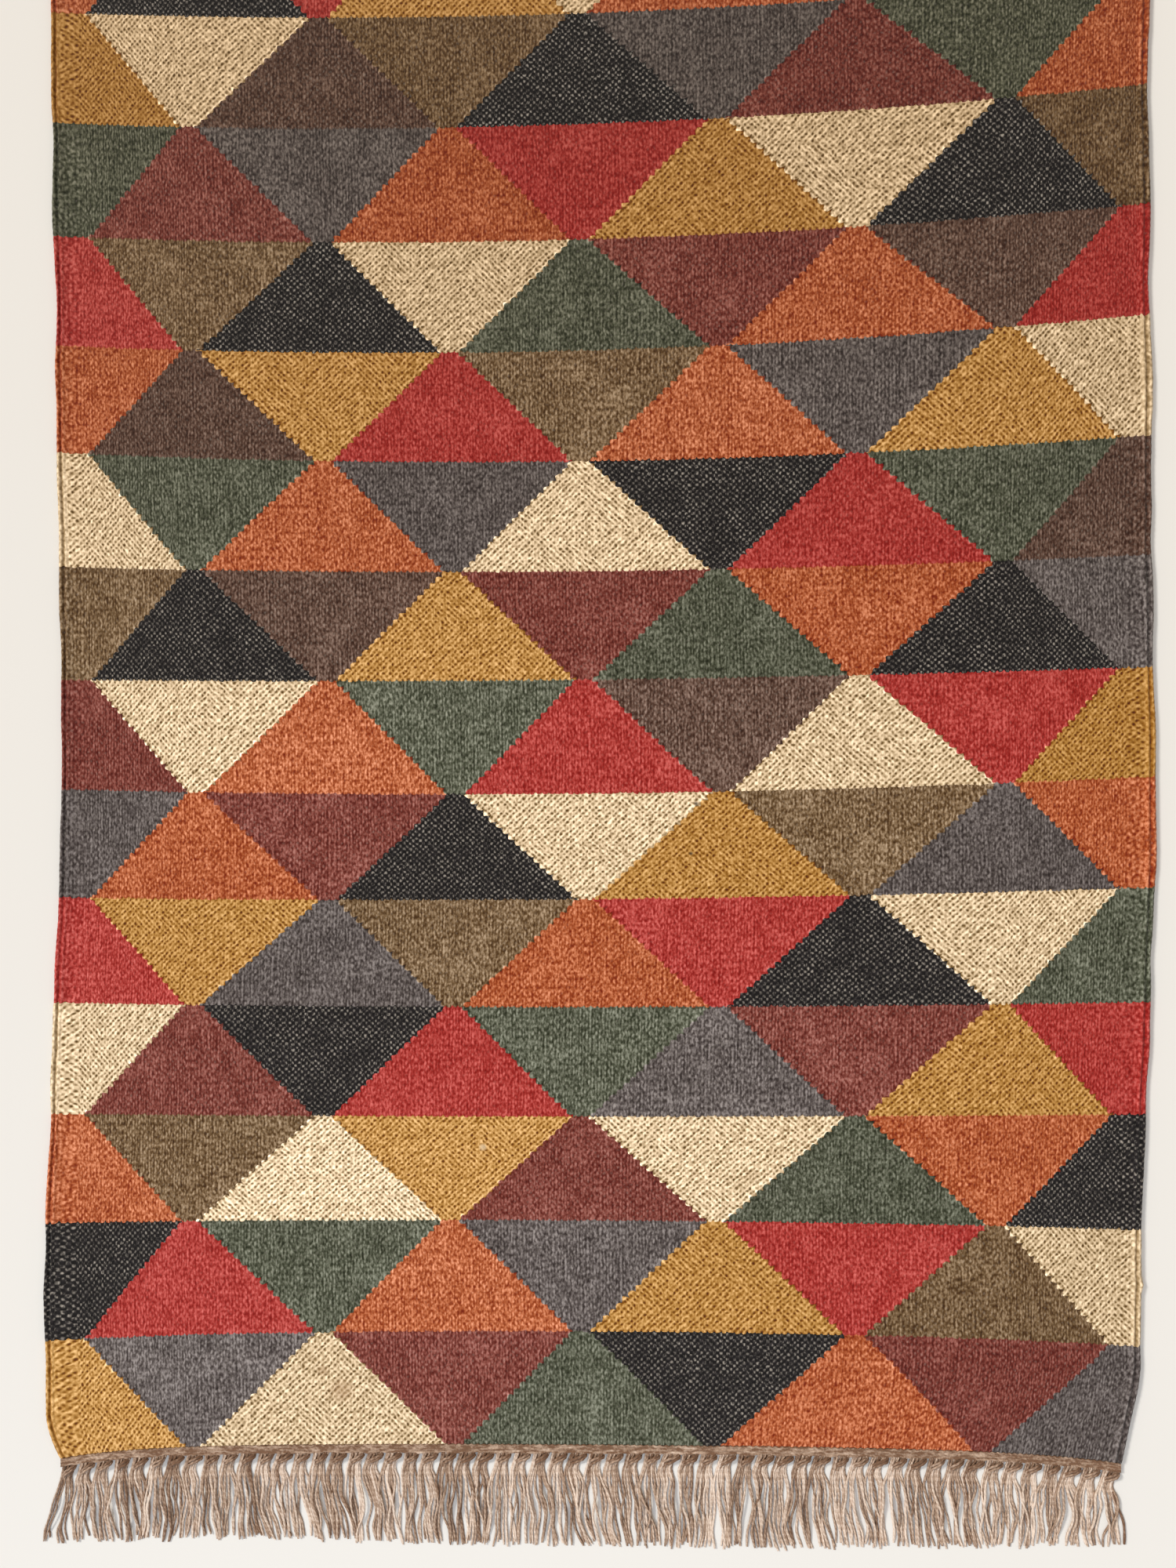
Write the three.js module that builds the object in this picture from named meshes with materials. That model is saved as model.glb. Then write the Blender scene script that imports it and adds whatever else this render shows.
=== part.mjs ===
// A flat-woven kilim rug lying on a floor: one cloth, and at each end a jute band with its fringe.
// Millimetres. X runs along the weft, Y along the warp, Z up. The underside is at Z = 0.
import * as THREE from 'three';

// The woven rows. The pattern's rows of triangles divide the cloth along the warp.
const ROW_COUNT = 16;
const ROW_LENGTH = 91.1;
const CLOTH_THICKNESS = 3.5;

// One line for each weft line between rows, from the near end: where the two selvedges lie,
// and how far the line is pushed along the rug at the left, the middle and the right.
const ROW_LINES = [
  { left: -460.0, right: 448.0, pushLeft: -12.0, pushMiddle: 1.5, pushRight: 4.5 },
  { left: -460.0, right: 448.5, pushLeft: -11.0, pushMiddle: 2.0, pushRight: 4.5 },
  { left: -459.0, right: 449.0, pushLeft: -5.0, pushMiddle: 4.5, pushRight: 6.5 },
  { left: -455.5, right: 451.5, pushLeft: -5.0, pushMiddle: 0.5, pushRight: 7.0 },
  { left: -451.5, right: 454.5, pushLeft: -2.5, pushMiddle: -0.5, pushRight: 7.0 },
  { left: -446.5, right: 457.5, pushLeft: -4.0, pushMiddle: -3.0, pushRight: 7.5 },
  { left: -444.5, right: 457.5, pushLeft: -4.0, pushMiddle: -6.0, pushRight: 5.5 },
  { left: -444.0, right: 456.5, pushLeft: -2.5, pushMiddle: -3.0, pushRight: 3.5 },
  { left: -444.5, right: 453.5, pushLeft: 1.0, pushMiddle: -5.0, pushRight: 2.5 },
  { left: -446.5, right: 453.0, pushLeft: 5.0, pushMiddle: -5.0, pushRight: 5.5 },
  { left: -447.5, right: 451.5, pushLeft: 3.5, pushMiddle: -6.0, pushRight: 10.5 },
  { left: -447.5, right: 450.0, pushLeft: 4.0, pushMiddle: -6.0, pushRight: 8.0 },
  { left: -449.5, right: 448.5, pushLeft: 7.0, pushMiddle: -3.5, pushRight: 12.0 },
  { left: -450.0, right: 448.5, pushLeft: 6.0, pushMiddle: -3.0, pushRight: 10.0 },
  { left: -450.0, right: 449.0, pushLeft: 5.0, pushMiddle: -2.0, pushRight: 8.0 },
  { left: -450.0, right: 449.5, pushLeft: 4.0, pushMiddle: -1.0, pushRight: 6.0 },
  { left: -450.0, right: 450.0, pushLeft: 3.5, pushMiddle: 0.0, pushRight: 4.0 },
];
const PUSH_STATION = 400;

// The corners: drawn in by the last picks, and stretched along the warp.
const CORNER_PULL = 12;
const CORNER_REACH = 50;
const CORNER_BEND = 1.6;
const CORNER_STRETCH = 10;
const CORNER_STRETCH_POWER = 7;
const HALF_WIDTH = 450;

// A selvedge in section, from its lower edge over two bound cords to the flat cloth.
const SELVEDGE = [
  { inset: 0.8, height: 0 },
  { inset: 0, height: 2.2 },
  { inset: 1.9, height: 4.6 },
  { inset: 4.0, height: 3.4 },
  { inset: 6.2, height: 4.3 },
  { inset: 8.4, height: CLOTH_THICKNESS },
];

// Places along the warp where the cloth's outline has a point, in rows.
const CORNER_PLACES = [0, 0.1, 0.22, 0.36];
const PLACES_PER_ROW = 2;

// The end bands.
const BAND_GAP = 0.3;
const BAND_DEPTH = 8.2;
const BAND_FRONT = BAND_GAP + BAND_DEPTH;
const BAND_EDGE_HEIGHT = 3.0;
const BAND_CREST_HEIGHT = 3.8;

// The fringe: each bunch of warp ends has a neck, a lump where it is turned on itself, and two locks.
const BUNCH_COUNT = 57;
const TOP_SHARE = 0.62;
const NECK_WIDTH = 9.6;
const LUMP = { distance: 5.5, width: 11.2, height: 5.2, slant: -1.6 };
const FORK = { distance: 13, width: 13.2, height: 3.0, slant: -2.8 };
const LOCKS_PER_BUNCH = 2;
const LOCK_COUNT = BUNCH_COUNT * LOCKS_PER_BUNCH;
const LOCK_SECTIONS = [
  { along: 0.34, width: 6.2, height: 2.8 },
  { along: 0.68, width: 6.0, height: 2.6 },
  { along: 1, width: 5.2, height: 2.4 },
];
const FRINGE_LENGTH = 71;
const LOCK_LENGTH = FRINGE_LENGTH - FORK.distance;
const LENGTH_UNEVENNESS = 2.4;

// How the locks lie on the floor, in millimetres at their tips and radians from one lock to the next.
const LOCK_RETURN = 3.2;
const LEAN = { reach: 4.2, turn: 0.21 };
const LEAN_BEND = 1.4;
const SWAY = { reach: 1.6, turn: 0.33 };

// The outermost locks splay out of the corner and end a little short.
const SPLAY_LEFT = { outward: 20, fade: 2.4, shortening: 8 };
const SPLAY_RIGHT = { outward: 9, fade: 1.1, shortening: 8 };

// Two waves that don't repeat together make the ends uneven, from another start at each end.
const UNEVEN_WAVES = [
  { turn: 2.39, share: 0.6 },
  { turn: 5.13, share: 0.4 },
];
const NEAR_SEED = 1.7;
const FAR_SEED = 4.2;

const WOOL = { color: 0x80584a, roughness: 0.95, metalness: 0 };
const JUTE = { color: 0x8e7361, roughness: 0.9, metalness: 0 };

// A smooth value from one column of the row lines, at any place along the warp in rows.
function fromRows(column, place) {
  const row = Math.min(Math.floor(place), ROW_COUNT - 1);
  const at = (index) => ROW_LINES[THREE.MathUtils.clamp(index, 0, ROW_COUNT)][column];
  const share = place - row;
  const slopeStart = (at(row + 1) - at(row - 1)) / 2;
  const slopeEnd = (at(row + 2) - at(row)) / 2;
  const rise = at(row + 1) - at(row);
  const square = share * share;
  const cube = square * share;
  return at(row) + slopeStart * (share - 2 * square + cube)
    + rise * (3 * square - 2 * cube) + slopeEnd * (cube - square);
}

function cornerPull(place) {
  const distance = Math.min(place, ROW_COUNT - place) * ROW_LENGTH;
  return CORNER_PULL * Math.max(0, 1 - distance / CORNER_REACH) ** CORNER_BEND;
}

function leftEdge(place) {
  return fromRows('left', place) + cornerPull(place);
}

function rightEdge(place) {
  return fromRows('right', place) - cornerPull(place);
}

// Where the weft line at a place along the warp passes a given X.
function weftY(place, x) {
  const left = fromRows('pushLeft', place);
  const middle = fromRows('pushMiddle', place);
  const right = fromRows('pushRight', place);
  const station = x / PUSH_STATION;
  const push = middle + (right - left) / 2 * station + ((right + left) / 2 - middle) * station ** 2;
  const endShare = (place - ROW_COUNT / 2) / (ROW_COUNT / 2);
  const fade = Math.sign(endShare) * Math.abs(endShare) ** ROW_COUNT;
  const stretch = CORNER_STRETCH * Math.abs(x / HALF_WIDTH) ** CORNER_STRETCH_POWER * fade;
  return (place - ROW_COUNT / 2) * ROW_LENGTH + push + stretch;
}

// Collects points and triangles of one closed solid. A mirrored solid turns its triangles round.
class Solid {
  constructor(mirrored = false) {
    this.points = [];
    this.triangles = [];
    this.mirrored = mirrored;
  }

  point(x, y, z) {
    this.points.push(new THREE.Vector3(x, y, z));
    return this.points.length - 1;
  }

  triangle(a, b, c) {
    this.triangles.push(...(this.mirrored ? [a, c, b] : [a, b, c]));
  }

  // Joins two rows with as many points each.
  strip(first, second) {
    for (let i = 0; i + 1 < first.length; i += 1) {
      this.triangle(first[i], first[i + 1], second[i + 1]);
      this.triangle(first[i], second[i + 1], second[i]);
    }
  }

  // Fills a small outline from its first point.
  fan(outline) {
    for (let i = 1; i + 1 < outline.length; i += 1) {
      this.triangle(outline[0], outline[i], outline[i + 1]);
    }
  }

  // Joins two closed rings with as many points each.
  tube(first, second) {
    this.strip([...first, first[0]], [...second, second[0]]);
  }

  // Fills a level outline, facing up or down.
  level(outline, facing) {
    const flat = outline.map((index) => new THREE.Vector2(this.points[index].x, this.points[index].y));
    for (const [a, b, c] of THREE.ShapeUtils.triangulateShape(flat, [])) {
      const turn = flat[b].clone().sub(flat[a]).cross(flat[c].clone().sub(flat[a]));
      const ordered = turn * facing > 0 ? [a, b, c] : [a, c, b];
      this.triangle(...ordered.map((corner) => outline[corner]));
    }
  }

  mesh(name, finish) {
    const geometry = new THREE.BufferGeometry();
    geometry.setFromPoints(this.points);
    geometry.setIndex(this.triangles);
    geometry.computeVertexNormals();
    const mesh = new THREE.Mesh(geometry, new THREE.MeshStandardMaterial(finish));
    mesh.name = name;
    return mesh;
  }
}

// The cloth's points along the warp: close together at the corners, then evenly spaced.
function placesAlong() {
  const middle = [];
  for (let step = 1; step < ROW_COUNT * PLACES_PER_ROW; step += 1) {
    middle.push(step / PLACES_PER_ROW);
  }
  const far = CORNER_PLACES.map((place) => ROW_COUNT - place).reverse();
  return [...CORNER_PLACES, ...middle, ...far];
}

function wovenCloth() {
  const solid = new Solid();
  const places = placesAlong();
  const onCloth = (place, x, z) => solid.point(x, weftY(place, x), z);
  const leftSections = places.map((place) => SELVEDGE.map(
    ({ inset, height }) => onCloth(place, leftEdge(place) + inset, height),
  ));
  const rightSections = places.map((place) => [...SELVEDGE].reverse().map(
    ({ inset, height }) => onCloth(place, rightEdge(place) - inset, height),
  ));
  for (let i = 0; i + 1 < places.length; i += 1) {
    solid.strip(leftSections[i], leftSections[i + 1]);
    solid.strip(rightSections[i], rightSections[i + 1]);
  }

  // An end: its points on the top of the field, and all those below them on the underside.
  const fieldInset = SELVEDGE[SELVEDGE.length - 1].inset;
  const endAt = (index) => {
    const place = places[index];
    const start = leftEdge(place) + fieldInset;
    const width = rightEdge(place) - fieldInset - start;
    const field = [];
    for (let i = 1; i < BUNCH_COUNT; i += 1) {
      field.push(onCloth(place, start + width * i / BUNCH_COUNT, CLOTH_THICKNESS));
    }
    const left = leftSections[index];
    const right = rightSections[index];
    const top = [...left.slice(1), ...field, ...right.slice(0, -1)];
    const below = top.slice(1, -1).map((upper) => {
      const { x, y } = solid.points[upper];
      return solid.point(x, y, 0);
    });
    const outer = [left[0], ...below, right[right.length - 1]];
    return { field, top, outer };
  };
  const near = endAt(0);
  const far = endAt(places.length - 1);
  solid.strip(near.outer, near.top);
  solid.strip(far.top, far.outer);

  const innerLeft = leftSections.map((section) => section[section.length - 1]);
  const innerRight = rightSections.map((section) => section[0]);
  solid.level([...near.field, ...innerRight, ...[...far.field].reverse(), ...innerLeft.reverse()], 1);
  const lowerLeft = leftSections.map((section) => section[0]).slice(1, -1);
  const lowerRight = rightSections.map((section) => section[section.length - 1]).slice(1, -1);
  solid.level([...near.outer, ...lowerRight, ...[...far.outer].reverse(), ...lowerLeft.reverse()], -1);
  return solid.mesh('woven_cloth', WOOL);
}

// A repeatable unevenness between -1 and 1.
function uneven(number, seed) {
  return UNEVEN_WAVES.reduce((sum, { turn, share }) => sum + share * Math.sin(turn * (number + seed)), 0);
}

// One end of the rug, where distance is measured from the cloth's end outwards.
function rugEnd(isFar) {
  const place = isFar ? ROW_COUNT : 0;
  const outward = isFar ? 1 : -1;
  const solid = new Solid(isFar);
  const left = leftEdge(place);
  const right = rightEdge(place);
  return {
    solid,
    left,
    right,
    pitch: (right - left) / BUNCH_COUNT,
    seed: isFar ? FAR_SEED : NEAR_SEED,
    at: (x, distance, z) => solid.point(x, weftY(place, x) + outward * distance, z),
  };
}

function bunchMiddle(end, bunch) {
  return end.left + end.pitch * (bunch + 0.5);
}

// The four corners of a bunch or lock, flat below and narrower above.
function ring(end, x, distance, { width, height }) {
  return [
    end.at(x - width / 2, distance, 0),
    end.at(x - width * TOP_SHARE / 2, distance, height),
    end.at(x + width * TOP_SHARE / 2, distance, height),
    end.at(x + width / 2, distance, 0),
  ];
}

// The band, with a low crest along it. Its front is open where each bunch starts.
function endBand(end) {
  const lines = [
    { distance: BAND_GAP, height: 0 },
    { distance: BAND_GAP, height: BAND_EDGE_HEIGHT },
    { distance: BAND_GAP + BAND_DEPTH / 2, height: BAND_CREST_HEIGHT },
    { distance: BAND_FRONT, height: BAND_EDGE_HEIGHT },
    { distance: BAND_FRONT, height: 0 },
  ];
  const low = [end.left];
  const high = [end.left];
  for (let bunch = 0; bunch < BUNCH_COUNT; bunch += 1) {
    for (const side of [-1, 1]) {
      low.push(bunchMiddle(end, bunch) + side * NECK_WIDTH / 2);
      high.push(bunchMiddle(end, bunch) + side * NECK_WIDTH * TOP_SHARE / 2);
    }
  }
  low.push(end.right);
  high.push(end.right);

  const [lowerBack, upperBack, crest, upperFront, lowerFront] = lines.map(
    ({ distance, height }) => (height === 0 ? low : high).map((x) => end.at(x, distance, height)),
  );
  end.solid.strip(upperBack, lowerBack);
  end.solid.strip(crest, upperBack);
  end.solid.strip(upperFront, crest);
  end.solid.strip(lowerBack, lowerFront);
  const section = [lowerBack, lowerFront, upperFront, crest, upperBack];
  end.solid.fan(section.map((line) => line[0]));
  end.solid.fan(section.map((line) => line[line.length - 1]).reverse());

  const necks = [];
  for (let i = 0; i < crest.length; i += 2) {
    end.solid.strip(lowerFront.slice(i, i + 2), upperFront.slice(i, i + 2));
    if (i + 2 < crest.length) {
      necks.push([lowerFront[i + 1], upperFront[i + 1], upperFront[i + 2], lowerFront[i + 2]]);
    }
  }
  return necks;
}

// A lock of yarns from its root to its tip. It swings back from the slant of its bunch.
function lock(end, number, root, laneX) {
  const leftCorner = Math.exp(-number / SPLAY_LEFT.fade);
  const rightCorner = Math.exp(-(LOCK_COUNT - 1 - number) / SPLAY_RIGHT.fade);
  const splay = SPLAY_RIGHT.outward * rightCorner - SPLAY_LEFT.outward * leftCorner;
  const shortening = SPLAY_LEFT.shortening * leftCorner + SPLAY_RIGHT.shortening * rightCorner;
  const length = LOCK_LENGTH - shortening + LENGTH_UNEVENNESS * uneven(number, end.seed);
  const lean = LOCK_RETURN + LEAN.reach * Math.sin(number * LEAN.turn + end.seed) + splay;
  let previous = root;
  for (const section of LOCK_SECTIONS) {
    const { along } = section;
    const sway = SWAY.reach * along * Math.sin(along * Math.PI * 2 + number * SWAY.turn);
    const x = laneX + lean * along ** LEAN_BEND + sway;
    const next = ring(end, x, BAND_FRONT + FORK.distance + length * along, section);
    end.solid.tube(next, previous);
    previous = next;
  }
  end.solid.fan(previous.reverse());
}

// A bunch of warp ends: from its neck at the band to its lump, and on to the fork of its two locks.
function bunch(end, number, neck) {
  const middle = bunchMiddle(end, number);
  const lumpX = middle + LUMP.slant * (1 + uneven(number, end.seed) / 2);
  const lump = ring(end, lumpX, BAND_FRONT + LUMP.distance, LUMP);
  end.solid.tube(lump, neck);

  const forkX = middle + FORK.slant;
  const forkDistance = BAND_FRONT + FORK.distance;
  const fork = ring(end, forkX, forkDistance, FORK);
  const lowMiddle = end.at(forkX, forkDistance, 0);
  const highMiddle = end.at(forkX, forkDistance, FORK.height);
  end.solid.strip([fork[0], fork[1]], [lump[0], lump[1]]);
  end.solid.strip([fork[2], fork[3]], [lump[2], lump[3]]);
  end.solid.fan([highMiddle, fork[2], lump[2], lump[1], fork[1]]);
  end.solid.fan([lowMiddle, fork[0], lump[0], lump[3], fork[3]]);

  const halfLane = end.pitch / LOCKS_PER_BUNCH / 2;
  const firstLock = number * LOCKS_PER_BUNCH;
  lock(end, firstLock, [fork[0], fork[1], highMiddle, lowMiddle], forkX - halfLane);
  lock(end, firstLock + 1, [lowMiddle, highMiddle, fork[2], fork[3]], forkX + halfLane);
}

function endFringe(name, isFar) {
  const end = rugEnd(isFar);
  endBand(end).forEach((neck, number) => bunch(end, number, neck));
  return end.solid.mesh(name, JUTE);
}

const rug = new THREE.Group();
rug.add(wovenCloth());
rug.add(endFringe('near_end_fringe', false));
rug.add(endFringe('far_end_fringe', true));

// The origin is the middle of the rug's outline, on the floor.
const middleOfRug = new THREE.Box3().setFromObject(rug).getCenter(new THREE.Vector3());
rug.position.set(-middleOfRug.x, -middleOfRug.y, 0);

export default rug;
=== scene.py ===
# A flat-woven kilim rug lying on a pale floor. The cloth is tapestry woven from wool over jute warps, in
# rows of triangles, with two bound cords at each selvedge. At each end a few jute picks lock the wool, and
# the warp ends hang from them in hitched bunches as a fringe. Rug sizes are millimetres, made metres at the
# mesh.
import functools
import math

import bpy
import numpy as np
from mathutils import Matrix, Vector, noise


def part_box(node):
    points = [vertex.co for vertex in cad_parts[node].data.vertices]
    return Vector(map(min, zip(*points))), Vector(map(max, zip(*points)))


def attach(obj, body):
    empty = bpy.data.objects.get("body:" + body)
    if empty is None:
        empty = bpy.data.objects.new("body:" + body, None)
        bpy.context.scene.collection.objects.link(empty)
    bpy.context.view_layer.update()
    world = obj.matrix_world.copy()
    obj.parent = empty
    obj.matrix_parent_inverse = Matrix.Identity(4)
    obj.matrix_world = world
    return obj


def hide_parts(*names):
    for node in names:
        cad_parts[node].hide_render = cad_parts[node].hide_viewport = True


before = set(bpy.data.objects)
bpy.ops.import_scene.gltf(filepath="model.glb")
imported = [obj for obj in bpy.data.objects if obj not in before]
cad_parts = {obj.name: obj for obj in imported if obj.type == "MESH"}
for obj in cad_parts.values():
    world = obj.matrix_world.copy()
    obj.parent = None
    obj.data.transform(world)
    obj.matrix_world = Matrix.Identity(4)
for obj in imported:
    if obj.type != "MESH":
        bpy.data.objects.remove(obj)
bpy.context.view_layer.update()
MM = 0.001

# The camera: held level over the rug's near half, a little right of its middle, as the photograph was taken.
PHOTO_HEIGHT_PIXELS = 2000
FOCAL_PIXELS = 1550
SENSOR_HEIGHT = 24.0
CAMERA_PLACE = (57.4, -163.9, 1002.2)
CAMERA_TURN = (-0.677, 3.105, 0.017)

lens = bpy.data.cameras.new("camera")
lens.sensor_fit = "VERTICAL"
lens.sensor_height = SENSOR_HEIGHT
lens.lens = FOCAL_PIXELS / PHOTO_HEIGHT_PIXELS * SENSOR_HEIGHT
lens.clip_start = 0.01
camera = bpy.data.objects.new("camera", lens)
camera.location = Vector(CAMERA_PLACE) * MM
camera.rotation_euler = [math.radians(angle) for angle in CAMERA_TURN]
bpy.context.scene.collection.objects.link(camera)
bpy.context.scene.camera = camera

# The woven cloth: one weft-faced piece of hand-spun wool. Each pick of weft passes over every other warp, so
# its face is a staggered lattice of small beads. It is beaten tight, but its lines and edges wander a little.
ROW_COUNT = 16
ROW_LENGTH = 91.1
PICKS_PER_ROW = 36
PICK = ROW_LENGTH / PICKS_PER_ROW
CLOTH_THICKNESS = 3.5

# The weft lines between the rows of triangles, from the near end to the far one: where the two selvedges
# lie, and how far the line is pushed along the rug at the middle and 400 mm to the left and right of it.
LEFT_EDGE = (-460, -460, -459, -455.5, -451.5, -446.5, -444.5, -444, -444.5,
             -446.5, -447.5, -447.5, -449.5, -450, -450, -450, -450)
RIGHT_EDGE = (448, 448.5, 449, 451.5, 454.5, 457.5, 457.5, 456.5, 453.5,
              453, 451.5, 450, 448.5, 448.5, 449, 449.5, 450)
PUSH_LEFT = (-12, -10.5, -4, -4, -1.5, -3.5, -4, -2.5, 0.5, 4, 2.5, 2.5, 5.5, 6, 5, 4, 3.5)
PUSH_MIDDLE = (1.5, 4.5, 5.5, 0.5, 0, -2, -6, -3.5, -5.5, -6.5, -7, -7.5, -5, -6, -3.5, -1.5, 0)
PUSH_RIGHT = (7.0, 5.5, 7.5, 8.2, 7.5, 8, 5.5, 3.5, 2, 5, 9.5, 7, 10.5, 7.5, 6.5, 5.5, 4)
PUSH_STATION = 400
HALF_WIDTH = 450
CORNER_PULLS = ((12, 34, 1.7), (14, 76, 1.3))
CORNER_STRETCH, CORNER_STRETCH_POWER = 10, 7
DRAWN_WIDTHS = (60, 460)

# The warps: nine seam columns, where the triangles have their tips, stand 41 warps apart. Their places are
# shares of the cloth's width at the near and the far end, and the loom's tension bows them all sideways.
WARPS_PER_CELL = 41
CELLS = 8
MARGIN_WARPS = 7
CORD_WARPS = 3
WARP_COUNT = 2 * MARGIN_WARPS + CELLS * WARPS_PER_CELL
SEAMS_NEAR = (0.0287, 0.1370, 0.2620, 0.3815, 0.4993, 0.6215, 0.7455, 0.8705, 0.9756)
SEAMS_FAR = (0.0230, 0.1225, 0.2470, 0.3655, 0.4856, 0.6135, 0.7365, 0.8750, 0.9815)
BOW, BOW_CENTRE, BOW_LENGTH = -3.0, 6.3, 13.5

# A selvedge in section, as inset and height, from its lower edge over two bound cords to the flat cloth.
SELVEDGE = ((1.0, 0), (0.35, 0.8), (0, 2.0), (0.25, 3.2), (0.95, 4.2), (1.9, 4.6), (2.9, 4.25), (3.6, 3.5),
            (4.1, 3.2), (4.7, 3.5), (5.5, 4.1), (6.3, 4.3), (7.1, 4.05), (7.8, 3.7), (8.4, CLOTH_THICKNESS))
CORD_TURN_SWELL = 0.16
EDGE_WANDER = ((11.0, 0.3), (38.0, 0.9), (75.0, 3.0))
WANDER_FADE = 60
NUB_PICK, NUB_PICKS, NUB_REACH = 55, 1.6, 2.0

# The yarns: letter, colour, and how much beads, ribs and light flecks show. Cream, mustard and black are the
# coarser ones, whose beads stand apart. The others are beaten closer, into ribs along the warps.
YARNS = (
    ("C", "#E1C8A4", 1.00, 0.05, 0.00),
    ("Y", "#BE8D4A", 0.95, 0.20, 0.00),
    ("O", "#B66038", 0.30, 0.80, 0.10),
    ("R", "#AC3631", 0.15, 0.85, 0.10),
    ("M", "#7E3E35", 0.15, 1.00, 0.20),
    ("P", "#61483D", 0.12, 1.00, 0.25),
    ("B", "#765D40", 0.15, 0.95, 0.20),
    ("G", "#565A4A", 0.15, 0.95, 0.20),
    ("S", "#5D5554", 0.12, 0.90, 0.25),
    ("K", "#181416", 0.70, 0.75, 1.00),
)
COARSE_RISE = 0.3

# The weaver's plan, from the near end: the yarns of each row's nine pieces, left to right.
PLAN = (
    "YSCMGKOMS", "KRGOSYRBC", "OBCYMCGOK", "CMKRGSMYR", "RYSBORKCG", "SOMKCYBSO", "MCOGRPCRY", "BKPYMGOKS",
    "CGOSCKRGP", "OPYRBOSYC", "RBKCGMOPR", "GMSORYCKB", "YCPBKSMGO", "OKRYCOGRM", "SGMPBKCOY", "CRYOSMRGK",
)
TIP_WARPS = 2.7
RUN_PER_PICK = (WARPS_PER_CELL - 2 * TIP_WARPS) / PICKS_PER_ROW
COCKLES = ((75.0, 0.35), (26.0, 0.14))


def between_rows(values, place):
    """Smooth values at places along the warp, in rows, from one value for each weft line."""
    place = np.asarray(place, float)
    row = np.clip(np.floor(place), 0, ROW_COUNT - 1).astype(int)
    before, start, end, after = (np.take(values, np.clip(row + k, 0, ROW_COUNT)) for k in (-1, 0, 1, 2))
    share = place - row
    slope_start, slope_end = (end - before) / 2, (after - start) / 2
    return (start + slope_start * (share - 2 * share**2 + share**3)
            + (end - start) * (3 * share**2 - 2 * share**3) + slope_end * (share**3 - share**2))


def corner_pulls(place):
    """How far the last picks draw the left and the right selvedge in."""
    distance = np.minimum(place, ROW_COUNT - np.asarray(place, float)) * ROW_LENGTH
    return [pull * np.maximum(0, 1 - distance / reach) ** bend for pull, reach, bend in CORNER_PULLS]


def selvedges(place):
    """The X of the left and right edges."""
    left_pull, right_pull = corner_pulls(place)
    return between_rows(LEFT_EDGE, place) + left_pull, between_rows(RIGHT_EDGE, place) - right_pull


def weft_y(place, x):
    """Where the weft line at a place along the warp passes a given X."""
    left, middle, right = (between_rows(push, place) for push in (PUSH_LEFT, PUSH_MIDDLE, PUSH_RIGHT))
    station = x / PUSH_STATION
    push = middle + (right - left) / 2 * station + ((right + left) / 2 - middle) * station**2
    end_share = (place - ROW_COUNT / 2) / (ROW_COUNT / 2)
    fade = np.sign(end_share) * np.abs(end_share) ** ROW_COUNT
    stretch = CORNER_STRETCH * np.abs(x / HALF_WIDTH) ** CORNER_STRETCH_POWER * fade
    return (place - ROW_COUNT / 2) * ROW_LENGTH + push + stretch


def seam_columns(place):
    """The X of the nine seam columns at a place along the warp."""
    left, right = between_rows(LEFT_EDGE, place), between_rows(RIGHT_EDGE, place)
    shares = np.array(SEAMS_NEAR) + (np.array(SEAMS_FAR) - np.array(SEAMS_NEAR)) * place / ROW_COUNT
    bow = BOW * math.cos(2 * math.pi * (place - BOW_CENTRE) / BOW_LENGTH)
    x = left + (right - left) * shares + bow
    drawn_right, drawn_left = (np.maximum(0, 1 - distance / width)
                               for distance, width in zip((x - left, right - x), DRAWN_WIDTHS))
    left_pull, right_pull = corner_pulls(place)
    return x + drawn_right * left_pull - drawn_left * right_pull


def warp_x(warp, place):
    """The X of a warp, counted from the left edge, at a place along the warp."""
    left, right = selvedges(place)
    inset = SELVEDGE[-1][0]
    known = [CORD_WARPS, *(MARGIN_WARPS + WARPS_PER_CELL * np.arange(CELLS + 1)), WARP_COUNT - CORD_WARPS]
    return np.interp(warp, known, [left + inset, *seam_columns(place), right - inset])


def yarn_number(warp, pick):
    """The number of the yarn at a warp and pick, by the weaver's plan."""
    row = np.clip(pick // PICKS_PER_ROW, 0, ROW_COUNT - 1)
    cell = np.clip((warp - MARGIN_WARPS) // WARPS_PER_CELL, 0, CELLS - 1)
    run = TIP_WARPS + (pick - row * PICKS_PER_ROW) * RUN_PER_PICK - WARPS_PER_CELL / 2
    direction = np.where((cell + row) % 2 == 1, 1, -1)
    edge = MARGIN_WARPS + WARPS_PER_CELL * (cell + 0.5) + direction * run
    letters = "".join(letter for letter, *_ in YARNS)
    numbers = np.array([[letters.index(letter) for letter in row_plan] for row_plan in PLAN])
    return numbers[row, cell + (warp > edge)]


def wander(x, y, waves):
    """A smooth unevenness in millimetres, from (wavelength, reach) pairs."""
    return sum(reach * noise.noise(Vector((x / length, y / length, length))) for length, reach in waves)


SHARP_ANGLE = math.radians(50)
low_corner, high_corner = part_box("woven_cloth")
every_place = np.linspace(0, ROW_COUNT, ROW_COUNT * PICKS_PER_ROW + 1)
left_edges, right_edges = selvedges(every_place)
end_lines = [weft_y(place, np.linspace(*selvedges(place), 99)) for place in (0, ROW_COUNT)]
design_middle = ((left_edges.min() + right_edges.max()) / 2, (end_lines[0].min() + end_lines[1].max()) / 2, 0)
ORIGIN = np.array([*((low_corner + high_corner).to_2d() / 2 / MM), 0]) - design_middle


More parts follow.
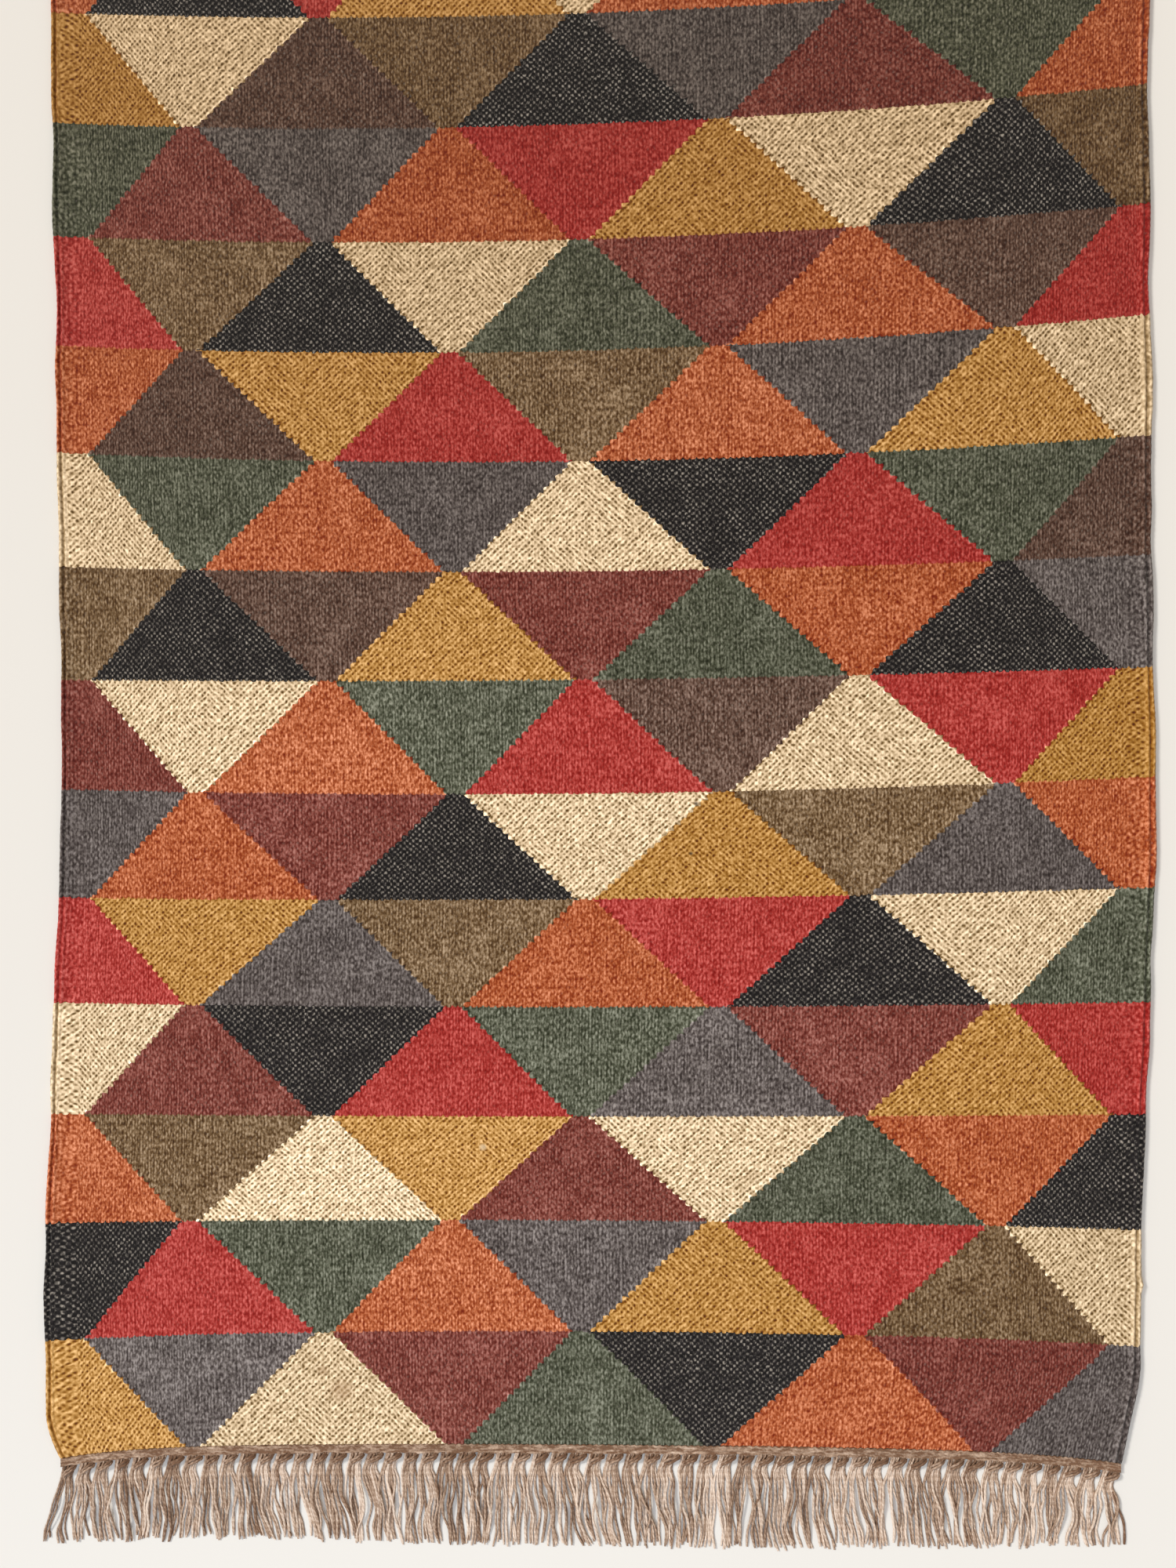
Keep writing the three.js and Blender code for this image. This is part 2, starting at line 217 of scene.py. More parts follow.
def new_piece(name, points, faces, maps):
    """A smooth mesh object in metres, with maps of each point's or each corner's place in a pattern."""
    mesh = bpy.data.meshes.new(name)
    mesh.from_pydata(((points + ORIGIN) * MM).tolist(), [], faces)
    corners = np.zeros(len(mesh.loops), np.int32)
    mesh.loops.foreach_get("vertex_index", corners)
    for map_name, places in maps.items():
        layer = mesh.uv_layers.new(name=map_name)
        of_corners = places if len(places) == len(corners) else places[corners]
        layer.data.foreach_set("uv", of_corners.astype(np.float32).ravel())
    mesh.shade_smooth()
    mesh.set_sharp_from_angle(angle=SHARP_ANGLE)
    piece = bpy.data.objects.new(name, mesh)
    bpy.context.scene.collection.objects.link(piece)
    return piece


# The top of the cloth is a grid with a line for each pick, and a column for every third warp.
PICK_COUNT = ROW_COUNT * PICKS_PER_ROW
WARPS_PER_COLUMN = 3
cord_insets, cord_heights = np.array(SELVEDGE[:-1]).T
cord_warps = cord_insets / SELVEDGE[-1][0] * CORD_WARPS
margin_middle = (CORD_WARPS + MARGIN_WARPS) // 2
field_warps = np.array([
    CORD_WARPS, margin_middle,
    *(MARGIN_WARPS + WARPS_PER_CELL * cell + column
      for cell in range(CELLS) for column in range(0, WARPS_PER_CELL, WARPS_PER_COLUMN)),
    WARP_COUNT - MARGIN_WARPS, WARP_COUNT - margin_middle, WARP_COUNT - CORD_WARPS,
])
line_warps = np.concatenate([cord_warps, field_warps, (WARP_COUNT - cord_warps)[::-1]])
CORDS = len(cord_warps)
FIELD = slice(CORDS, CORDS + len(field_warps))
BEADED = 0.6
coarse_yarns = [number for number, (_, _, beads, _, _) in enumerate(YARNS) if beads > BEADED]


def cloth_line(pick):
    """The points across the top of the cloth at a pick, from one lower edge to the other."""
    place = pick / PICKS_PER_ROW
    left, right = selvedges(place)
    swell = CORD_TURN_SWELL * (pick % 2)
    fade = 1 - cord_insets / SELVEDGE[-1][0]
    wandering = min(1, min(pick, PICK_COUNT - pick) * PICK / WANDER_FADE)
    left_out, right_out = (swell + wandering * wander(edge, pick * PICK, EDGE_WANDER)
                           for edge in (left, right))
    right_out += NUB_REACH * math.exp(-((pick - NUB_PICK) / NUB_PICKS) ** 2)
    x = np.concatenate([
        left + cord_insets - left_out * fade,
        warp_x(field_warps, place),
        (right - cord_insets + right_out * fade)[::-1],
    ])
    y = weft_y(place, x)
    cord = cord_heights + swell
    yarns = yarn_number(field_warps, min(pick, PICK_COUNT - 1))
    field = CLOTH_THICKNESS + COARSE_RISE * np.isin(yarns, coarse_yarns)
    z = np.concatenate([cord, field, cord[::-1]])
    z += [wander(*place_on_floor, COCKLES) for place_on_floor in zip(x, y)]
    z[[0, -1]] = 0
    return np.stack([x, y, z], 1)


top = np.array([cloth_line(pick) for pick in range(PICK_COUNT + 1)])
heights = top[:, FIELD, 2]
heights[1:-1, 1:-1] = (2 * heights[1:-1, 1:-1] + heights[2:, 1:-1] + heights[:-2, 1:-1]
                       + heights[1:-1, 2:] + heights[1:-1, :-2]) / 6

# The points of the grid, each with its warp and pick, and its place on the unrolled face, used by the map
# below.
inner = top[1:-1]
numbers = np.arange(inner.shape[0] * inner.shape[1]).reshape(inner.shape[:2])
unrolled = np.cumsum(np.linalg.norm(np.diff(inner, axis=1, prepend=inner[:, :1]), axis=2), axis=1)
unrolled -= unrolled[:, [len(line_warps) // 2]]
points = list(inner.reshape(-1, 3))
weave = [(warp, pick) for pick in range(1, PICK_COUNT) for warp in line_warps]
face_map = list(np.stack([unrolled.ravel(), inner[:, :, 1].ravel()], 1))
squares = np.stack([numbers[:-1, :-1], numbers[:-1, 1:], numbers[1:, 1:], numbers[1:, :-1]], 2)
faces = squares.reshape(-1, 4).tolist()

# The ends: the last picks make a row of scallops, a bead for each other warp, rounded down to the cut edge.
# They are given for half warps, outwards in picks.
SCALLOPS = (0.05, 0.25, 0.05, -0.15)
SCALLOP_DROP = 0.3
half_warps = np.arange(CORD_WARPS, WARP_COUNT - CORD_WARPS + 0.25, 0.5)


def scallops(far):
    """How far the cloth's end reaches past its last weft line, at each half warp of the field."""
    turned = (2 * half_warps).astype(int) + (2 if far else 0)
    return np.take(SCALLOPS, turned % len(SCALLOPS)) * PICK


def close_end(far):
    """Adds an end's scalloped edge and its wall, and returns the wall's foot as point numbers."""
    pick = PICK_COUNT if far else 0
    outward = 1 if far else -1
    end, line = top[pick], numbers[-1 if far else 0]
    x = warp_x(half_warps, pick / PICKS_PER_ROW)
    y = weft_y(pick / PICKS_PER_ROW, x) + outward * scallops(far)
    z = np.interp(half_warps, field_warps, end[FIELD, 2]) - SCALLOP_DROP
    edge = np.concatenate([end[:CORDS], np.stack([x, y, z], 1), end[FIELD.stop:]])
    edge_warps = np.concatenate([cord_warps, half_warps, line_warps[FIELD.stop:]])
    edge_across = np.interp(edge_warps, line_warps, unrolled[-1 if far else 0])
    edge_numbers = len(points) + np.arange(len(edge))
    points.extend(edge)
    past_end = np.concatenate([0 * cord_warps, scallops(far), 0 * cord_warps]) / PICK
    weave.extend(zip(edge_warps, pick + outward * past_end))
    face_map.extend(zip(edge_across, edge[:, 1]))

    foot = end * [1, 1, 0]
    foot_numbers = len(points) + np.arange(len(foot))
    points.extend(foot)
    weave.extend((warp, pick) for warp in line_warps)
    face_map.extend(zip(unrolled[-1 if far else 0], foot[:, 1] + outward * (end[:, 2] + PICK)))
    foot_numbers[[0, -1]] = edge_numbers[[0, -1]]

    starts = np.concatenate([np.arange(CORDS), CORDS + 2 * (field_warps - CORD_WARPS),
                             np.arange(len(edge) - CORDS, len(edge))])
    for column, (first, last) in enumerate(zip(starts, starts[1:])):
        run = edge_numbers[first:last + 1].tolist()
        over = [line[column + 1], line[column]]
        under = [foot_numbers[column + 1], foot_numbers[column]]
        for outline, turned in ((run + over, far), (run + under, not far)):
            corners = list(dict.fromkeys(int(corner) for corner in outline))
            faces.append(corners[::-1] if turned else corners)
    return foot_numbers


near_foot, far_foot = close_end(False), close_end(True)
top_faces = len(faces)

# The underside lies flat on the floor. Its lines are nine picks apart, and its columns stand at the seams.
PICKS_PER_UNDER_LINE = 9
seam_warps = MARGIN_WARPS + WARPS_PER_CELL * np.arange(CELLS + 1)
stations = [0, *np.searchsorted(line_warps, seam_warps), len(line_warps) - 1]
under_chains = [[near_foot[a:b + 1].tolist() for a, b in zip(stations, stations[1:])]]
for pick in range(PICKS_PER_UNDER_LINE, PICK_COUNT, PICKS_PER_UNDER_LINE):
    x = seam_columns(pick / PICKS_PER_ROW)
    first, last = (int(number) for number in numbers[pick - 1, [0, -1]])
    row_numbers = [first, *range(len(points), len(points) + len(x)), last]
    points.extend(np.stack([x, weft_y(pick / PICKS_PER_ROW, x), 0 * x], 1))
    weave.extend((warp, pick) for warp in seam_warps)
    face_map.extend(np.zeros((len(x), 2)))
    under_chains.append([list(pair) for pair in zip(row_numbers, row_numbers[1:])])
under_chains.append([far_foot[a:b + 1].tolist() for a, b in zip(stations, stations[1:])])
for strip, (low, high) in enumerate(zip(under_chains, under_chains[1:])):
    between = numbers[strip * PICKS_PER_UNDER_LINE:(strip + 1) * PICKS_PER_UNDER_LINE - 1]
    for cell in range(len(low)):
        left_side = between[:, 0].tolist() if cell == 0 else []
        right_side = between[:, -1].tolist() if cell == len(low) - 1 else []
        faces.append([low[cell][0], *left_side, *high[cell], *right_side[::-1], *low[cell][:0:-1]])

# A map named OFBake for baking: the unrolled top face beside a smaller underside.
TOP_SCALE, TOP_PLACE = 0.644e-3, (0.315, 0.5)
UNDER_SCALE, UNDER_PLACE = 0.38e-3, (0.81, 0.5)
corner_points = np.concatenate([np.asarray(face) for face in faces])
corner_faces = np.repeat(np.arange(len(faces)), [len(face) for face in faces])
all_points = np.array(points)
on_top = np.array(face_map)[corner_points] * TOP_SCALE + TOP_PLACE
on_underside = all_points[corner_points, :2] * UNDER_SCALE * [-1, 1] + UNDER_PLACE
bake_map = np.where((corner_faces < top_faces)[:, None], on_top, on_underside)
cloth = new_piece("kilim_cloth", all_points, faces, {"Weave": np.array(weave), "OFBake": bake_map})

# Hand-spun wool, dyed by hand and weft-faced: matt and a little hairy. Its beads are painted bright on top,
# with painted shade in the gaps between them, and its colour is mottled, since fibres of other shades were
# carded in.
WOOL_ROUGHNESS, WOOL_SHEEN, WOOL_SHINE = 0.92, 0.12, 0.25
BEAD_HEIGHT, BUMP_STRENGTH = 0.45, 0.6
RIB_RELIEF, BEAD_RELIEF = -0.6, 0.15
YARN_SHAKE, SHAKE_SCALE = 0.9, 0.45
NOISE_LOW, NOISE_HIGH = 0.3, 0.7
DIGITS, DIGIT_BASE = 3, 16

# The steps of the pieces' edges. Row lines follow the beads in part, and the diagonals in teeth of two beads.
STEPPED_ROWS = 0.6
STEP_BEADS = 2
FALLING_TOOTH, RISING_TOOTH = 1.5, 1.4
TOOTH_MEAN = 2 / math.pi
TOOTH_SCALE, SMALL_TOOTH, LARGE_TOOTH = 0.35, 0.6, 1.4

# The lights and darks are in stops, widths in warps or picks, and scales in waves for each warp and pick.
GAP_SHADE_STOPS, RIB_SHADE_STOPS, PEAK_LIGHT_STOPS = -2.3, -1.1, 0.55
GAP_SHARPNESS, CROSSING_DEPTH, ALONG_DEPTH, RIB_END_DEPTH = 2.4, 0.8, 0.32, 0.8
LAY_SCALE, LAY_RANGE, RIBS_IN_LAY = 0.06, (0.5, 0.68), 0.4
OPEN_SCALE, LEAST_OPEN, MOST_OPEN = 0.5, 0.4, 1.6
GAPS_ON_CORDS, CORD_FADE = 0.25, (-0.4, 0.3)
VALLEY_WARPS, VALLEY_WIDTHS, VALLEY_SHADE_STOPS = 1.5, (0.15, 0.7), -1.5
RIM_WIDTHS, RIM_SHADE_STOPS = (0.05, 0.45), -1.2
BEAD_STOPS, PIECE_STOPS = 0.5, 0.4
FUZZ = ((1.3, 0.72, 6.6), (1.3, 0.1, 2.6), (0.14, 0.7, 1.5), (0.18, 0.18, 0.8))
FUZZ_TOP, FUZZ_SOFTNESS, FUZZ_ON_BEADS = 1.1, 0.5, 0.25
EDGE_WIDTHS, SLIT_RANGE, CREST_RANGE = (0.3, 1.3), (0.15, 0.55), (0.55, 0.95)
CREST_HIGHLIGHT_STOPS, SLIT_SHADE_STOPS = 0.6, -2.4
RIGHT_WARPS, RIGHT_STOPS = (190, 320), -0.2
FAR_PICKS, FAR_SHADE_TONE = (230, 440), "#DFD8CE"
EYE_GAMMA = 2.2
FLECK_AND_HIGHLIGHT_COLOUR, FLECK_SCALE = "#AAA39A", (1.5, 0.8)
FLECK_RANGE, FLECK_SHARES, FLECK_GAP = (0.4, 0.66), (0.05, 1.0), 1.1
LINT_SCALE, LINT_RANGE, LINT_SHARES = 0.13, (0.35, 0.65), (0.5, 1.0)

# Marks of use and of the yarn: the warp and pick of the middle, the radius, the colour and the strength.
MARK_CORE = 0.3
MARKS = (
    ((94.5, 17.5), 5.0, "#A98560", 0.5),
    ((88.6, 24.1), 2.4, "#A98560", 0.35),
    ((140.1, 97.5), 1.5, "#E6CCA6", 0.8),
    ((202.8, 195.3), 0.8, "#2A2019", 0.85),
    ((204.4, 212.2), 0.9, "#2A2019", 0.85),
)


def linear(colour):
    """The linear light of an sRGB hex colour."""
    parts = [int(colour[i:i + 2], 16) / 255 for i in (1, 3, 5)]
    return [part / 12.92 if part <= 0.04045 else ((part + 0.055) / 1.055) ** 2.4 for part in parts]


def add_node(tree, kind, *inputs, output=0, ramp=None, **settings):
    """Adds a node with its settings, links or values for its sockets in order, and gives one output."""
    made = tree.nodes.new("ShaderNode" + kind)
    for name, value in settings.items():
        setattr(made, name, value)
    for socket, value in zip(made.inputs, inputs):
        if isinstance(value, bpy.types.NodeSocket):
            tree.links.new(value, socket)
        elif value is not None:
            socket.default_value = value
    if ramp is not None:
        made.color_ramp.interpolation = "CONSTANT"
        while len(made.color_ramp.elements) < len(ramp):
            made.color_ramp.elements.new(1)
        for index, colour in enumerate(ramp):
            made.color_ramp.elements[index].position = index / len(ramp)
            made.color_ramp.elements[index].color = (*colour, 1)
    return made.outputs[output] if made.outputs else made


wool = bpy.data.materials.new("hand_spun_wool")
wool.use_nodes = True
wool.node_tree.nodes.clear()
add_wool = functools.partial(add_node, wool.node_tree)

# The place in warps and picks, shaken a little, as hand-spun yarn never lies quite true. A warp takes about
# 2.6 mm of the rug's width and a pick 2.5 mm of its length.
mapped = add_wool("UVMap", uv_map="Weave")
shake = add_wool("TexNoise", mapped, None, SHAKE_SCALE, 1.0, output=1, noise_dimensions="2D")
shake = add_wool("VectorMath", shake, (0.5, 0.5, 0), operation="SUBTRACT")
shaken = add_wool("VectorMath", shake, (YARN_SHAKE, YARN_SHAKE, 0), mapped, operation="MULTIPLY_ADD")
place = add_wool("SeparateXYZ", shaken)
warp, pick = place, place.node.outputs[1]
mapped_warp = add_wool("SeparateXYZ", mapped)
mapped_pick = mapped_warp.node.outputs[1]

# The beads, in a staggered lattice: the nearest one, and how far the point is towards its neighbours on the
# falling and the rising diagonal, from 0 at its middle to 1 at the gap.
falling_line = add_wool("Math", warp, pick, operation="ADD")
falling_line = add_wool("Math", falling_line, 0.5, -0.5, operation="MULTIPLY_ADD")
rising_line = add_wool("Math", add_wool("Math", warp, pick, operation="SUBTRACT"), 0.5, operation="MULTIPLY")
falling_bead = add_wool("Math", falling_line, operation="ROUND")
rising_bead = add_wool("Math", rising_line, operation="ROUND")
bead_warp = add_wool("Math", falling_bead, rising_bead, operation="ADD")
bead_pick = add_wool("Math", falling_bead, rising_bead, operation="SUBTRACT")
to_falling = add_wool("Math", falling_line, falling_bead, operation="SUBTRACT")
to_falling = add_wool("Math", to_falling, operation="ABSOLUTE")
to_rising = add_wool("Math", rising_line, rising_bead, operation="SUBTRACT")
to_rising = add_wool("Math", to_rising, operation="ABSOLUTE")

# The same beads seen as ribs: each warp's beads stand in a column, every other column half a bead higher.
column = add_wool("Math", warp, operation="FLOOR")
in_column = add_wool("Math", add_wool("Math", warp, operation="FRACT"), 0.5, operation="SUBTRACT")
rib_pick = add_wool("Math", pick, column, operation="SUBTRACT")
rib_pick = add_wool("Math", rib_pick, 0.5, -0.25, operation="MULTIPLY_ADD")
rib_bead = add_wool("Math", rib_pick, operation="ROUND")
in_rib_bead = add_wool("Math", rib_pick, rib_bead, operation="SUBTRACT")

# The piece of the plan that the point belongs to: its row, the cell between two seam columns, and the side of
# the cell's diagonal. The weft turns back in rounded steps there, some longer than others.
row = add_wool("Mix", STEPPED_ROWS, None, pick, bead_pick)
row = add_wool("Math", row, 1 / PICKS_PER_ROW, operation="MULTIPLY")
row = add_wool("Clamp", add_wool("Math", row, operation="FLOOR"), 0, ROW_COUNT - 1)
pick_in_row = add_wool("Math", row, -PICKS_PER_ROW, pick, operation="MULTIPLY_ADD")
pick_in_row = add_wool("Clamp", pick_in_row, 0, PICKS_PER_ROW)
cell = add_wool("Math", warp, 1 / WARPS_PER_CELL, -MARGIN_WARPS / WARPS_PER_CELL, operation="MULTIPLY_ADD")
cell = add_wool("Clamp", add_wool("Math", cell, operation="FLOOR"), 0, CELLS - 1)
rising = add_wool("Math", add_wool("Math", cell, row, operation="ADD"), 2, operation="FLOORED_MODULO")
direction = add_wool("Math", rising, 2, -1, operation="MULTIPLY_ADD")
run = add_wool("Math", pick_in_row, RUN_PER_PICK, TIP_WARPS - WARPS_PER_CELL / 2, operation="MULTIPLY_ADD")
along_edge = add_wool("Mix", rising, None, rising_line, falling_line)
tooth = add_wool("Math", along_edge, math.pi / STEP_BEADS, operation="MULTIPLY")
tooth = add_wool("Math", add_wool("Math", tooth, operation="SINE"), operation="ABSOLUTE")
reach = add_wool("Mix", rising, None, FALLING_TOOTH, -RISING_TOOTH)
tooth_size = add_wool("TexNoise", mapped, None, TOOTH_SCALE, 1.0, noise_dimensions="2D")
tooth_size = add_wool("MapRange", tooth_size, NOISE_LOW, NOISE_HIGH, SMALL_TOOTH, LARGE_TOOTH)
reach = add_wool("Math", reach, tooth_size, operation="MULTIPLY")
past_mean = add_wool("Math", tooth, TOOTH_MEAN, operation="SUBTRACT")
run = add_wool("Math", past_mean, reach, run, operation="MULTIPLY_ADD")
edge = add_wool("Math", cell, WARPS_PER_CELL, MARGIN_WARPS + WARPS_PER_CELL / 2, operation="MULTIPLY_ADD")
edge = add_wool("Math", run, direction, edge, operation="MULTIPLY_ADD")
piece = add_wool("Math", cell, add_wool("Math", warp, edge, operation="GREATER_THAN"), operation="ADD")

# The plan, a stop for each row. Each of its three channels holds three pieces' yarn numbers as digits.
letters = "".join(letter for letter, *_ in YARNS)
row_digits = [[letters.index(letter) for letter in row_plan] for row_plan in PLAN]
SCALE = DIGIT_BASE**DIGITS
plan_stops = [
    [sum(digit * DIGIT_BASE**at for at, digit in enumerate(digits[start:start + DIGITS])) / SCALE
     for start in range(0, len(digits), DIGITS)]
    for digits in row_digits
]
row_share = add_wool("Math", row, 1 / ROW_COUNT, 0.5 / ROW_COUNT, operation="MULTIPLY_ADD")
channels = add_wool("SeparateColor", add_wool("ValToRGB", row_share, ramp=plan_stops)).node.outputs
third = add_wool("Math", piece, 1 / DIGITS, 0.1, operation="MULTIPLY_ADD")
third = add_wool("Math", third, operation="FLOOR")
digits = channels[0]
for index in (1, 2):
    reached = add_wool("Math", third, index - 0.5, operation="GREATER_THAN")
    digits = add_wool("Mix", reached, None, digits, channels[index])
digits = add_wool("Math", digits, SCALE, 0.5, operation="MULTIPLY_ADD")
place_value = add_wool("Math", third, -DIGITS, piece, operation="MULTIPLY_ADD")
place_value = add_wool("Math", DIGIT_BASE, place_value, operation="POWER")
yarn = add_wool("Math", add_wool("Math", digits, place_value, operation="DIVIDE"), operation="FLOOR")
yarn = add_wool("Math", yarn, DIGIT_BASE, operation="FLOORED_MODULO")
yarn = add_wool("Math", yarn, 1 / len(YARNS), 0.5 / len(YARNS), operation="MULTIPLY_ADD")
yarn_colour = add_wool("ValToRGB", yarn, ramp=[linear(colour) for _, colour, *_ in YARNS])
showing = add_wool("ValToRGB", yarn, ramp=[shows for _, _, *shows in YARNS])
beads, ribs, flecks = add_wool("SeparateColor", showing).node.outputs

# The gaps between the beads and the grooves between the ribs, painted dark as shade that deepens into them.
# Round the cords the weft turns smoothly, so few open there. The yarn's twist makes the rising gaps the wider
# ones, but in patches the falling ones are as wide.
far_side = add_wool("Math", WARP_COUNT, warp, operation="SUBTRACT")
from_edge = add_wool("Math", warp, far_side, operation="MINIMUM")
fade_start, fade_end = (CORD_WARPS + off for off in CORD_FADE)
off_cord = add_wool("MapRange", from_edge, fade_start, fade_end, GAPS_ON_CORDS, 1)
lay = add_wool("TexNoise", mapped, None, LAY_SCALE, 1.0, noise_dimensions="2D")
lay = add_wool("MapRange", lay, *LAY_RANGE, 0, 1)
rising_gap = add_wool("Math", add_wool("Math", to_rising, math.pi, operation="MULTIPLY"), operation="SINE")
rising_gap = add_wool("Math", rising_gap, GAP_SHARPNESS, operation="POWER")
falling_gap = add_wool("Math", add_wool("Math", to_falling, math.pi, operation="MULTIPLY"), operation="SINE")
falling_gap = add_wool("Math", falling_gap, GAP_SHARPNESS, operation="POWER")
crossing = add_wool("Math", rising_gap, falling_gap, operation="MULTIPLY")
along_gap = add_wool("Mix", lay, None, rising_gap, falling_gap)
along_gap = add_wool("Math", along_gap, ALONG_DEPTH, operation="MULTIPLY")
bead_gap = add_wool("Math", crossing, CROSSING_DEPTH, along_gap, operation="MULTIPLY_ADD")
openness = add_wool("TexNoise", mapped, None, OPEN_SCALE, 1.0, noise_dimensions="2D")
openness = add_wool("MapRange", openness, NOISE_LOW, NOISE_HIGH, LEAST_OPEN, MOST_OPEN)
for share in (openness, beads, off_cord):
    bead_gap = add_wool("Math", bead_gap, share, operation="MULTIPLY")
rib_gap = add_wool("Math", add_wool("Math", in_column, math.pi, operation="MULTIPLY"), operation="SINE")
rib_gap = add_wool("Math", rib_gap, rib_gap, operation="MULTIPLY")
rib_end = add_wool("Math", in_rib_bead, in_rib_bead, operation="MULTIPLY")
rib_gap = add_wool("Math", rib_end, RIB_END_DEPTH, rib_gap, operation="MULTIPLY_ADD")
for share in (add_wool("MapRange", lay, 0, 1, 1, RIBS_IN_LAY), ribs, ribs, off_cord):
    rib_gap = add_wool("Math", rib_gap, share, operation="MULTIPLY")

# The yarn's own unevenness, in stops of light: each bead's or rib bead's, each piece's, and the fuzz of loose
# fibres over beads, along the warps, along the picks and in clouds. It shows most on the ribs, and a soft top
# keeps its lights from glaring.
bead_place = add_wool("CombineXYZ", bead_warp, bead_pick, 0)
bead_tone = add_wool("TexWhiteNoise", bead_place, noise_dimensions="2D")
rib_place = add_wool("CombineXYZ", column, rib_bead, 0)
rib_tone = add_wool("TexWhiteNoise", rib_place, noise_dimensions="2D")
by_bead = add_wool("Mix", ribs, None, bead_tone, rib_tone)
piece_tone = add_wool("TexWhiteNoise", add_wool("CombineXYZ", piece, row, 0), noise_dimensions="2D")
# Painted shade in the gaps and rib grooves, and a painted lift of light on the bead tops.
stops = add_wool("Math", bead_gap, GAP_SHADE_STOPS, PEAK_LIGHT_STOPS, operation="MULTIPLY_ADD")
stops = add_wool("Math", rib_gap, RIB_SHADE_STOPS, stops, operation="MULTIPLY_ADD")
for tone, reach in ((by_bead, BEAD_STOPS), (piece_tone, PIECE_STOPS)):
    tone = add_wool("Math", tone, 0.5, operation="SUBTRACT")
    stops = add_wool("Math", tone, reach, stops, operation="MULTIPLY_ADD")
fuzziness = add_wool("MapRange", ribs, 0, 1, FUZZ_ON_BEADS, 1)
unevenness = 0
for across, along, reach in FUZZ:
    fuzz_place = add_wool("VectorMath", mapped, (across, along, 0), operation="MULTIPLY")
    fuzz = add_wool("TexNoise", fuzz_place, None, 1.0, 1.0, noise_dimensions="2D")
    fuzz = add_wool("Math", fuzz, 0.5, operation="SUBTRACT")
    unevenness = add_wool("Math", fuzz, reach, unevenness, operation="MULTIPLY_ADD")
unevenness = add_wool("Math", unevenness, FUZZ_TOP, FUZZ_SOFTNESS, operation="SMOOTH_MIN")
stops = add_wool("Math", unevenness, fuzziness, stops, operation="MULTIPLY_ADD")

# Painted shade in the hollow between the two cords of a selvedge and along its outer rim, and on the diagonals,
# where each tooth has a painted highlight on its crest and painted shade in a small slit beside it. The
# right-hand part of the cloth is a little darker.
# Painted shade in the selvedge's hollow and along its outer rim.
valley_shade = add_wool("Math", from_edge, VALLEY_WARPS, operation="SUBTRACT")
valley_shade = add_wool("MapRange", add_wool("Math", valley_shade, operation="ABSOLUTE"), *VALLEY_WIDTHS, VALLEY_SHADE_STOPS, 0)
rim_shade = add_wool("MapRange", from_edge, *RIM_WIDTHS, RIM_SHADE_STOPS, 0)
stops = add_wool("Math", stops, add_wool("Math", valley_shade, rim_shade, operation="ADD"), operation="ADD")
at_edge = add_wool("Math", add_wool("Math", warp, edge, operation="SUBTRACT"), operation="ABSOLUTE")
at_edge = add_wool("MapRange", at_edge, *EDGE_WIDTHS, 1, 0)
# Painted highlight on each tooth's crest and painted shade in the slit beside it.
slit_shade = add_wool("MapRange", tooth, *SLIT_RANGE, 1, 0)
slit_shade_depth = add_wool("MapRange", rising, 0, 1, SLIT_SHADE_STOPS, SLIT_SHADE_STOPS / 2)
slit_shade = add_wool("Math", slit_shade, slit_shade_depth, operation="MULTIPLY")
tooth_highlight_and_shade = add_wool("MapRange", tooth, *CREST_RANGE, 0, CREST_HIGHLIGHT_STOPS)
tooth_highlight_and_shade = add_wool("Math", tooth_highlight_and_shade, slit_shade, operation="ADD")
at_edge = add_wool("Math", at_edge, tooth_size, operation="MULTIPLY")
stops = add_wool("Math", tooth_highlight_and_shade, at_edge, stops, operation="MULTIPLY_ADD")
# Darker towards the right-hand side.
right_side = add_wool("MapRange", mapped_warp, *RIGHT_WARPS, 0, RIGHT_STOPS)
stops = add_wool("Math", stops, right_side, operation="ADD")

# Light and dark go alike to each colour channel, as the eye sees them: a gap keeps the dye's full colour,
# and a lit fibre is paler. The far rows are painted browner and darker, as shade where the light falls off
# towards the far end.
shade = add_wool("Math", stops, 1 / EYE_GAMMA, operation="MULTIPLY")
shade = add_wool("Math", add_wool("Math", 2, shade, operation="POWER"), 1, operation="SUBTRACT")
seen = add_wool("Gamma", yarn_colour, 1 / EYE_GAMMA)
lift = add_wool("Math", shade, add_wool("RGBToBW", seen), operation="MULTIPLY")
seen = add_wool("VectorMath", seen, lift, operation="ADD")
seen = add_wool("VectorMath", seen, (0, 0, 0), operation="MAXIMUM")
colour = add_wool("Gamma", seen, EYE_GAMMA)
# Painted shade: the far rows browner and darker.
far_shade_rows = add_wool("MapRange", mapped_pick, *FAR_PICKS, 0, 1)
tones = ((1, 1, 1, 1), (*linear(FAR_SHADE_TONE), 1))
far_shade = add_wool("Mix", far_shade_rows, *(None,) * 5, *tones, output=2, data_type="RGBA")
colour = add_wool("VectorMath", colour, far_shade, operation="MULTIPLY")

